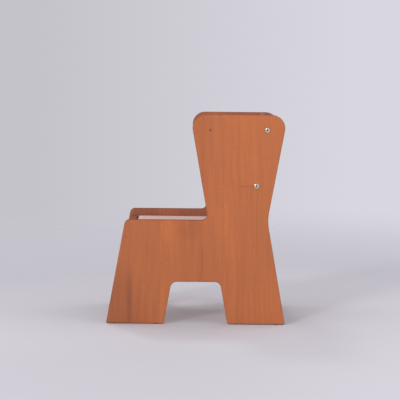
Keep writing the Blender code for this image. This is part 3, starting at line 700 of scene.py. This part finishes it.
def panel_holes(side_name, side):
    """Solids of a side's bolt holes, and of the pockets for its two threaded inserts."""
    shape = bmesh.new()
    low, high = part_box(f"side_panel_{side_name}")
    inner = low.x if side > 0 else high.x
    thick = high.x - low.x
    for use in ("pivot", "lock", "step"):
        insert = f"{use}_insert_{side_name}"
        middle = middle_of(insert)
        profile = [(BOLT_HOLE_RADIUS, CUT_OVERRUN)]
        # The pivot's insert is in the backrest, so the panel has only a hole there
        if use != "pivot":
            pocket, depth = insert_pocket(insert)
            profile = [(pocket, CUT_OVERRUN), (pocket, -depth), (BOLT_HOLE_RADIUS, -depth)]
        profile = [(0, CUT_OVERRUN), *profile, (BOLT_HOLE_RADIUS, HOLE_RIM - thick),
                   (BOLT_HOLE_RADIUS + HOLE_RIM + CUT_OVERRUN, -thick - CUT_OVERRUN),
                   (0, -thick - CUT_OVERRUN)]
        turned(shape, profile, facing((inner, middle.y, middle.z), (-side, 0, 0)))
    return shape


def insert_pocket(node):
    """Radius and depth of the pocket that an insert sits in."""
    low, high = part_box(node)
    return (high.z - low.z) / 2 + FIT_GAP, high.x - low.x + FIT_GAP


class DressRails(bpy.types.Operator):
    """Build the front and rear rails, their grain from side to side"""
    bl_idname = "step_chair.rails"
    bl_label = "Rails"

    def execute(self, context):
        sizes = context.scene.step_chair_sizes
        colours = context.scene.step_chair_colours
        for end_name, end in ENDS.items():
            node = f"{end_name}_rail"
            low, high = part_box(node)
            run = math.tan(sizes.lean) * (high.z - low.z)
            outer, inner = (low.y, high.y) if end < 0 else (high.y, low.y)
            shape = bmesh.new()
            shape.faces.new([shape.verts.new((low.x, y, z)) for y, z in (
                (outer, low.z), (outer - end * run, high.z), (inner, high.z),
                (inner + end * run, low.z))])
            thicken(shape, high.x - low.x, sizes.rail_edge)
            material = wood_material(f"stained_beech_rail_{end_name}", colours.wood_light,
                                     colours.wood_deep, AXES["board"], RAIL_STAVES[end_name])
            dress(save_shape(f"rail_{end_name}", shape), material, "frame", node)
        return {"FINISHED"}


class DressBackrest(bpy.types.Operator):
    """Build the backrest board with the notches for its lock bolts"""
    bl_idname = "step_chair.backrest"
    bl_label = "Backrest"

    def execute(self, context):
        sizes = context.scene.step_chair_sizes
        colours = context.scene.step_chair_colours
        material = wood_material("stained_beech_backrest", colours.wood_light,
                                 colours.wood_deep, AXES["board"], BOARD_STAVES,
                                 tilt=sizes.lean)
        pivot = middle_of("pivot_insert_right")
        lock = middle_of("lock_insert_right")
        reach = math.hypot(pivot.y - lock.y, pivot.z - lock.z)
        low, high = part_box("backrest_board")
        # Board seen from its pivot, with the lock bolts straight below
        place = Matrix.Translation((0, pivot.y, pivot.z)) @ Matrix.Rotation(-sizes.lean, 4, "X")
        shape = block((high.x - low.x, BOARD_THICKNESS, reach + 2 * BOARD_END_MARGIN),
                      Matrix.Translation((0, 0, -reach / 2)))
        round_edges(shape, sizes.board_edge, EDGE_SEGMENTS + 2)
        bmesh.ops.transform(shape, matrix=place, verts=shape.verts)
        board = save_shape("backrest", shape)
        radius, depth = insert_pocket("pivot_insert_right")
        pocket = [(0, CUT_OVERRUN), (radius, CUT_OVERRUN), (radius, -depth), (0, -depth)]
        cutter = bmesh.new()
        for side in SIDES.values():
            notch(cutter, side, high.x, reach, place)
            turned(cutter, pocket, place @ facing((side * high.x, 0, 0), (side, 0, 0)))
        cut_away(board, cutter)
        dress(board, material, "backrest", "backrest_board")
        return {"FINISHED"}


def notch(shape, side, board_end, reach, place):
    """Add the solid of a notch: round at the lock bolt, open through the rear face."""
    inner = side * (board_end - NOTCH_DEPTH)
    seat = NOTCH_RADIUS - BOLT_RADIUS - FIT_GAP
    mouth = BOARD_THICKNESS / 2 + CUT_OVERRUN
    before = set(shape.verts)
    start = shape.verts.new((inner, seat, -reach - NOTCH_RADIUS))
    last = draw_arc(shape, start, (inner, seat, -reach), -math.pi, SMALL_ROUND_STEPS // 2)
    corners = [shape.verts.new((inner, mouth, end * NOTCH_RADIUS - reach)) for end in (1, -1)]
    loop = [last, *corners, start]
    for pair in zip(loop, loop[1:]):
        shape.edges.new(pair)
    edges = [edge for edge in shape.edges
             if edge.verts[0] not in before and not edge.link_faces]
    face = bmesh.ops.edgeloop_fill(shape, edges=edges)["faces"]
    extrude(shape, face, side * 2 * NOTCH_DEPTH)
    new = [vertex for vertex in shape.verts if vertex not in before]
    bmesh.ops.transform(shape, matrix=place, verts=new)


class DressSeatBoard(bpy.types.Operator):
    """Give the seat board, the cleats and the dowels their bare wood"""
    bl_idname = "step_chair.seat_board"
    bl_label = "Seat board and cleats"

    def execute(self, context):
        colours = context.scene.step_chair_colours
        beech = colours.plain_beech
        finishes = {
            "seat_board": plywood_material("birch_plywood_sanded", colours.plywood),
            "seat_cleat": wood_material("plain_beech_cleat", beech, beech, AXES["cleat"],
                                        CLEAT_STAVES, stained=False),
            "dowel": wood_material("plain_beech_dowel", beech, beech, AXES["board"],
                                   DOWEL_STAVES, stained=False),
        }
        for name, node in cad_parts.items():
            for word, material in finishes.items():
                if word in name:
                    node.data.materials[0] = material
        return {"FINISHED"}


class DressSeatPad(bpy.types.Operator):
    """Swell the foam pad under its tight vinyl cover"""
    bl_idname = "step_chair.seat_pad"
    bl_label = "Seat pad"

    def execute(self, context):
        sizes = context.scene.step_chair_sizes
        colours = context.scene.step_chair_colours
        low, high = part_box("seat_pad")
        pad = save_shape("pad", pad_block(low, high, sizes.pad_edge))
        remesh = pad.modifiers.new("voxels", "REMESH")
        remesh.mode = "VOXEL"
        remesh.voxel_size = VOXEL
        apply_modifiers(pad)
        swell(context.scene, pad, low, high)
        finer = pad.modifiers.new("finer", "SUBSURF")
        finer.levels = finer.render_levels = 1
        material = vinyl_material("vinyl_coated_fabric_embossed", colours.vinyl)
        dress(pad, material, "frame", "seat_pad", rigid=False)
        return {"FINISHED"}


def pad_block(low, high, edge_round):
    """Slab that the pad swells from: wide enough to be squeezed in, its rim rounded."""
    size = high - low + Vector((2 * SIDE_SQUEEZE, 2 * END_SQUEEZE, -SWELL_START))
    middle = low.z + size.z / 2
    shape = block(size, Matrix.Translation((0, 0, middle)))
    rim = [edge for edge in shape.edges if all(end.co.z > middle for end in edge.verts)]
    bmesh.ops.bevel(shape, geom=rim, offset=edge_round, segments=EDGE_SEGMENTS, profile=0.5,
                    affect="EDGES", material=-1)
    return shape


def swell(scene, pad, low, high):
    """Press the cover out from inside, its base held flat, within the space it has."""
    start = [vertex.co.copy() for vertex in pad.data.vertices]
    held = pad.vertex_groups.new(name="held")
    base = low.z + VOXEL / 2
    held.add([index for index, place in enumerate(start) if place.z < base], 1.0, "REPLACE")
    cloth = pad.modifiers.new("swell", "CLOTH")
    settings = cloth.settings
    settings.use_pressure = True
    settings.uniform_pressure_force = SWELL_PRESSURE
    settings.effector_weights.gravity = 0
    settings.vertex_group_mass = held.name
    cloth.point_cache.frame_start = 1
    cloth.point_cache.frame_end = SWELL_FRAMES
    for frame_number in range(1, SWELL_FRAMES + 1):
        scene.frame_set(frame_number)
    apply_modifiers(pad)
    scene.frame_set(1)
    pad.vertex_groups.clear()
    shape = bmesh.new()
    shape.from_mesh(pad.data)
    for vertex, origin in zip(shape.verts, start):
        move = vertex.co - origin
        if move.length > SWELL_CAP:
            vertex.co = origin + move.normalized() * SWELL_CAP
    soft = [vertex for vertex in shape.verts if vertex.co.z > base]
    bmesh.ops.smooth_vert(shape, verts=soft, factor=0.5, use_axis_x=True, use_axis_y=True,
                          use_axis_z=True)
    for vertex in shape.verts:
        vertex.co = [min(max(value, least), most)
                     for value, least, most in zip(vertex.co, low, high)]
    shape.to_mesh(pad.data)
    shape.free()


def thread(crest, start, end, pitch, depth):
    """Profile of a thread: rings that go in and out between two heights."""
    turns = int((start - end) / pitch)
    points = []
    for turn in range(turns):
        points += [(crest, start - turn * pitch), (crest - depth, start - (turn + 0.5) * pitch)]
    return points + [(crest, start - turns * pitch)]


def mark_shaded_recess(piece, place, reach, bottom):
    """Mark a drive recess's faces, near the axis and above its bottom, for painted shade."""
    back = place.inverted()
    marks = piece.data.attributes.new("recess", "FLOAT", "FACE")
    for face in piece.data.polygons:
        middle = back @ face.center
        inside = math.hypot(middle.x, middle.y) < reach and middle.z > bottom - MERGE_DISTANCE
        marks.data[face.index].value = 1.0 if inside else 0.0


class DressBolts(bpy.types.Operator):
    """Build the four domed bolts with their hexagon sockets and threads"""
    bl_idname = "step_chair.bolts"
    bl_label = "Bolts"

    def execute(self, context):
        colours = context.scene.step_chair_colours
        material = metal_material("nickel_plate_bright", colours.nickel, roughness=0.16,
                                  speckle=0.08)
        corner = SOCKET_ACROSS / 2 / math.cos(math.pi / 6)
        socket_middle = BOLT_HEAD_HEIGHT - SOCKET_DEPTH / 2 + CUT_OVERRUN / 2
        low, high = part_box("side_panel_right")
        for use in ("pivot", "lock"):
            for side_name, side in SIDES.items():
                node = f"{use}_bolt_{side_name}"
                place, long, head = end_of(node, (side, 0, 0), BOLT_HEAD_HEIGHT)
                long -= BOLT_HEAD_HEIGHT
                # The lock bolt's tip is plain past the panel, where it holds the board
                threaded = long if use == "pivot" else high.x - low.x
                bolt = turned_piece(f"bolt_{use}_{side_name}",
                                    bolt_profile(head, long, threaded), place)
                socket = bmesh.new()
                bmesh.ops.create_cone(socket, cap_ends=True, segments=6, radius1=corner,
                                      radius2=corner, depth=SOCKET_DEPTH + CUT_OVERRUN,
                                      matrix=place @ Matrix.Translation((0, 0, socket_middle)))
                cut_away(bolt, socket)
                mark_shaded_recess(bolt, place, corner - MERGE_DISTANCE,
                            BOLT_HEAD_HEIGHT - SOCKET_DEPTH)
                body = "backrest" if use == "pivot" else f"{side_name}_lock"
                dress(bolt, material, body, node)
        return {"FINISHED"}


def bolt_profile(head, long, threaded):
    """Domed bolt from the top of its head to its tip, threaded up to a place on its shank."""
    chamfer = THREAD_DEPTH * 2
    end = min(threaded, long - chamfer)
    return [*quarter(0, BOLT_RIM, head, BOLT_HEAD_HEIGHT - BOLT_RIM, DOME_STEPS),
            (head - HOLE_RIM / 2, 0), (BOLT_RADIUS, 0),
            *thread(BOLT_RADIUS, THREAD_LENGTH - end, -end, THREAD_PITCH, THREAD_DEPTH),
            (BOLT_RADIUS, chamfer - long), (BOLT_RADIUS - chamfer, -long), (0, -long)]


class DressInserts(bpy.types.Operator):
    """Build the threaded inserts and the nylon washers at the pivots"""
    bl_idname = "step_chair.inserts"
    bl_label = "Inserts and washers"

    def execute(self, context):
        colours = context.scene.step_chair_colours
        zinc = metal_material("zinc_plate_dull_insert", colours.zinc, roughness=0.38,
                              speckle=0.15)
        nylon = nylon_material("white_nylon_moulded", colours.white_nylon)
        for side_name, side in SIDES.items():
            # The pivot inserts face out of the board's ends, the others into the chair
            for use, body, out in (("pivot", "backrest", side), ("lock", "frame", -side),
                                   ("step", "frame", -side)):
                node = f"{use}_insert_{side_name}"
                place, long, radius = end_of(node, (out, 0, 0))
                insert = turned_piece(f"insert_{use}_{side_name}",
                                      insert_profile(radius, long), place)
                dress(insert, zinc, body, node)
            node = f"pivot_washer_{side_name}"
            place, thick, radius = end_of(node, (1, 0, 0))
            washer = turned_piece(f"washer_{side_name}", washer_profile(radius, thick), place)
            dress(washer, nylon, "backrest", node)
        return {"FINISHED"}


def insert_profile(radius, long):
    """Threaded sleeve, its face at the origin and its length below."""
    root = BOLT_RADIUS + FIT_GAP + THREAD_DEPTH
    return [(root + HOLE_RIM / 2, 0),
            *thread(root, -HOLE_RIM, HOLE_RIM - long, THREAD_PITCH, THREAD_DEPTH),
            (root, -long), (radius - HOLE_RIM, -long), (radius, HOLE_RIM - long), (radius, 0)]


def washer_profile(radius, thick):
    """Flat washer with its edges eased, its face at the origin."""
    ease = thick / 6
    hole = BOLT_HOLE_RADIUS
    return [(hole, -ease), (hole + ease, 0), (radius - ease, 0), (radius, -ease),
            (radius, ease - thick), (radius - ease, -thick), (hole + ease, -thick),
            (hole, ease - thick)]


class DressScrews(bpy.types.Operator):
    """Build the countersunk screws of the cleats with their cross recesses"""
    bl_idname = "step_chair.screws"
    bl_label = "Screws"

    def execute(self, context):
        colours = context.scene.step_chair_colours
        zinc = metal_material("zinc_plate_dull_screw", colours.zinc, roughness=0.34,
                              speckle=0.12)
        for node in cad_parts:
            if "screw" not in node:
                continue
            # The seat's screws show their heads below, the cleats' to the chair's middle
            out = (1 if middle_of(node).x < 0 else -1, 0, 0)
            if node.startswith("seat_screw"):
                out = (0, 0, -1)
            place, long, head = end_of(node, out)
            screw = turned_piece(f"dressed_{node}", screw_profile(head, long), place,
                                 SMALL_ROUND_STEPS)
            arm = (head * RECESS_WIDE, head * RECESS_THIN, 2 * head * RECESS_DEEP)
            for turn in (0, math.pi / 2):
                cut_away(screw, block(arm, place @ Matrix.Rotation(turn, 4, "Z")))
            mark_shaded_recess(screw, place, head * RECESS_WIDE / 2 + MERGE_DISTANCE,
                        -head * RECESS_DEEP)
            dress(screw, zinc, "frame", node)
        return {"FINISHED"}


def screw_profile(head, long):
    """Countersunk wood screw from the middle of its head to its point."""
    shank = head * SCREW_SHANK
    return [(0, 0), (head, 0), (head, -head * SCREW_RIM), (shank, -head * SCREW_NECK),
            *thread(shank, -long / 3, 2 * shank - long, SCREW_PITCH, head * SCREW_THREAD),
            (0, -long)]


class DressGlides(bpy.types.Operator):
    """Build the nylon glides under the feet"""
    bl_idname = "step_chair.glides"
    bl_label = "Glides"

    def execute(self, context):
        colours = context.scene.step_chair_colours
        nylon = nylon_material("black_nylon_moulded", colours.black_nylon)
        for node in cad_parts:
            if not node.startswith("glide"):
                continue
            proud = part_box("side_panel_right")[0].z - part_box(node)[0].z
            place, long, radius = end_of(node, (0, 0, -1), proud)
            glide = turned_piece(f"dressed_{node}", glide_profile(radius, proud, long - proud),
                                 place, SMALL_ROUND_STEPS)
            dress(glide, nylon, "frame", node)
        return {"FINISHED"}


def glide_profile(radius, proud, peg):
    """Glide pressed in by its peg: a low button with a rounded edge and a dished face."""
    ease = proud / 2
    dish = radius * GLIDE_DISH
    thin = radius * GLIDE_PEG
    return [(0, proud - ease / 4), (dish, proud - ease / 4), (dish * 1.5, proud),
            *quarter(radius - ease, proud - ease, ease, ease, EDGE_SEGMENTS),
            (radius, FIT_GAP), (thin, FIT_GAP), (thin, thin / 2 - peg), (0, -peg)]


# Camera that took the photograph, worked out from the chair's corners in it
CAMERA_PLACE = (5.0956, -0.0094, 0.9253)
CAMERA_YAW = 0.00464
CAMERA_PITCH = 0.09191
CAMERA_ROLL = 0.0095
CAMERA_FOCUS_PIXELS = 1290.7
PHOTO_PIXELS = 400
SENSOR = 36.0
VIEW_END = 100.0

# Where the lamps shine from. The key light's shadow falls to the rear beyond the chair, and
# the far light's to the rear on the camera's side
KEY_FROM = (0.72, -0.52, 0.46)
FAR_KEY_FROM = (-0.60, -0.25, 0.76)
LAMP_WIDTH = math.radians(12)
LAMP_PLACE = (0.0, 0.0, 3.0)
# Sines of the angles between which the light from the horizon becomes that from the sky, and
# of half the angle over which the backdrop grows lighter
LOW_SKY = 0.20
HIGH_SKY = 0.70
BACKDROP_HALF = 0.12

# The floor fades out between two distances. As in the photograph, it is painted lighter
# towards the camera and a little to the picture's right, and darker in a soft patch before
# the chair's front foot: painted light and painted shadow
FLOOR_RADIUS = 9.0
FLOOR_SEGMENTS = 96
FADE_START = 1.4
FADE_END = 4.6
PAINTED_LIGHT_WAY = (1.0, 0.35, 0.0)
PAINTED_LIGHT_FROM = -1.2
PAINTED_LIGHT_TO = 0.4
SHADOW_PATCH_PLACE = (1.1, -0.25, 0.0)
SHADOW_PATCH_INNER = 0.2
SHADOW_PATCH_OUTER = 0.95
SHADOW_PATCH_SHARE = 0.925


class SetStage(bpy.types.Operator):
    """Set the pale floor, the soft light and the camera"""
    bl_idname = "step_chair.stage"
    bl_label = "Stage"

    def execute(self, context):
        scene = context.scene
        colours = scene.step_chair_colours
        stage = scene.step_chair_stage
        shape = bmesh.new()
        bmesh.ops.create_circle(shape, cap_ends=True, segments=FLOOR_SEGMENTS,
                                radius=FLOOR_RADIUS)
        floor = save_shape("floor", shape)
        floor.data.materials.append(floor_material(colours.floor_back_shaded, colours.floor_front_lit))
        set_world(scene, colours, stage)
        for name, energy, direction in (("key", stage.key, KEY_FROM),
                                        ("far_key", stage.far_key, FAR_KEY_FROM)):
            light = bpy.data.lights.new(name, "SUN")
            light.energy = energy
            light.angle = LAMP_WIDTH
            lamp = bpy.data.objects.new(name, light)
            lamp.matrix_world = facing(LAMP_PLACE, direction)
            scene.collection.objects.link(lamp)
        set_camera(scene)
        scene.view_settings.view_transform = "Standard"
        return {"FINISHED"}


def floor_material(back, front):
    """Matt painted floor that fades out into the background far from the chair."""
    # Flat paint over a smooth base: a pale grey that takes soft shadows and no shine. Its
    # colour also holds painted light and shade: lighter towards the camera, darker behind the
    # chair and before its front foot
    material, add, shader, coords = start_material("matt_painted_floor")
    # Painted light: lighter towards the camera and to the right, darker behind the chair
    slope = add("VectorMath", coords, PAINTED_LIGHT_WAY, out="Value", operation="DOT_PRODUCT")
    nearness = add("MapRange", slope, PAINTED_LIGHT_FROM, PAINTED_LIGHT_TO)
    tint = add("Mix", {0: nearness, 6: back, 7: front}, out=2, data_type="RGBA")
    # Rolled paint is uneven over about 0.7 m
    mottle = add("TexNoise", {"Vector": coords, "Scale": 1.5, "Detail": 1.0})
    # Painted shadow: a soft darker patch before the chair's front foot
    away = add("VectorMath", coords, SHADOW_PATCH_PLACE, operation="SUBTRACT")
    patch = fading(add, away, SHADOW_PATCH_INNER, SHADOW_PATCH_OUTER, SHADOW_PATCH_SHARE, 1.0)
    body = layered(add, dulled(add, tint, mottle, 0.99), (1.0, patch))
    fade = fading(add, coords, FADE_START, FADE_END, 1.0, 0.0)
    feed(shader, {"Base Color": body, "Roughness": 0.8, "Specular IOR Level": 0.2,
                  "Alpha": fade})
    return material


def set_world(scene, colours, stage):
    """Light that is stronger from low, from the front and from the rear, and a pale backdrop."""
    world = bpy.data.worlds.new("studio")
    scene.world = world
    world.use_nodes = True
    world.node_tree.nodes.clear()
    add = partial(add_node, world.node_tree)
    ray = add("TexCoord", out="Generated")
    _, depth, height = add("SeparateXYZ", ray, out=None)
    level = add("MapRange", height, LOW_SKY, HIGH_SKY, stage.horizon, stage.zenith)
    ends = add("Math", depth, depth, operation="MULTIPLY")
    level = add("Math", ends, stage.flank, level, operation="MULTIPLY_ADD")
    light = add("Background", {"Color": linear("FBF9FF"), "Strength": level})
    # The photograph's background is lighter to the right
    drift = add("MapRange", depth, -BACKDROP_HALF, BACKDROP_HALF)
    pale = add("Mix", {0: drift, 6: colours.backdrop_left, 7: colours.backdrop_right},
               out=2, data_type="RGBA")
    shown = add("Background", {"Color": pale})
    # It shows to the camera and in mirrors and glass, while the light falls on the rest
    path = add("LightPath", out=None)
    seen = path["Is Camera Ray"]
    for kind in ("Is Glossy Ray", "Is Transmission Ray"):
        seen = add("Math", seen, path[kind], operation="MAXIMUM")
    mix = add("MixShader", seen, light, shown)
    add("OutputWorld", mix, out=None)


def set_camera(scene):
    """Camera at the photograph's place and angle."""
    ahead = Vector((-math.cos(CAMERA_PITCH) * math.cos(CAMERA_YAW),
                    math.cos(CAMERA_PITCH) * math.sin(CAMERA_YAW), -math.sin(CAMERA_PITCH)))
    right = ahead.cross(Vector((0, 0, 1))).normalized()
    up = right.cross(ahead)
    turn = Matrix((right, up, -ahead)).transposed() @ Matrix.Rotation(CAMERA_ROLL, 3, "Z")
    data = bpy.data.cameras.new("camera")
    data.sensor_width = SENSOR
    data.lens = SENSOR * CAMERA_FOCUS_PIXELS / PHOTO_PIXELS
    data.clip_end = VIEW_END
    camera = bpy.data.objects.new("camera", data)
    camera.matrix_world = Matrix.Translation(CAMERA_PLACE) @ turn.to_4x4()
    scene.collection.objects.link(camera)
    scene.camera = camera


GROUPS = {"step_chair_sizes": StepChairSizes, "step_chair_colours": StepChairColours,
          "step_chair_stage": StepChairStage}
OPERATORS = (SetStage, DressSidePanels, DressRails, DressBackrest, DressSeatBoard,
             DressSeatPad, DressBolts, DressInserts, DressScrews, DressGlides)


class StepChairPanel(bpy.types.Panel):
    """Settings of the step chair and a button for each group of its pieces"""
    bl_idname = "VIEW3D_PT_step_chair"
    bl_label = "Step Chair"
    bl_space_type = "VIEW_3D"
    bl_region_type = "UI"
    bl_category = "Step Chair"

    def draw(self, context):
        column = self.layout.column()
        for operator in OPERATORS:
            column.operator(operator.bl_idname)
        for group in GROUPS:
            settings = getattr(context.scene, group)
            for name in settings.__annotations__:
                column.prop(settings, name)


def register():
    for item in (*GROUPS.values(), *OPERATORS, StepChairPanel):
        bpy.utils.register_class(item)
    for name, group in GROUPS.items():
        setattr(bpy.types.Scene, name, PointerProperty(type=group))


def unregister():
    for name in GROUPS:
        delattr(bpy.types.Scene, name)
    for item in reversed((*GROUPS.values(), *OPERATORS, StepChairPanel)):
        bpy.utils.unregister_class(item)


def main():
    """Register the add-on and dress the chair."""
    register()
    for operator in OPERATORS:
        group, name = operator.bl_idname.split(".")
        getattr(getattr(bpy.ops, group), name)()


if __name__ == "__main__":
    main()
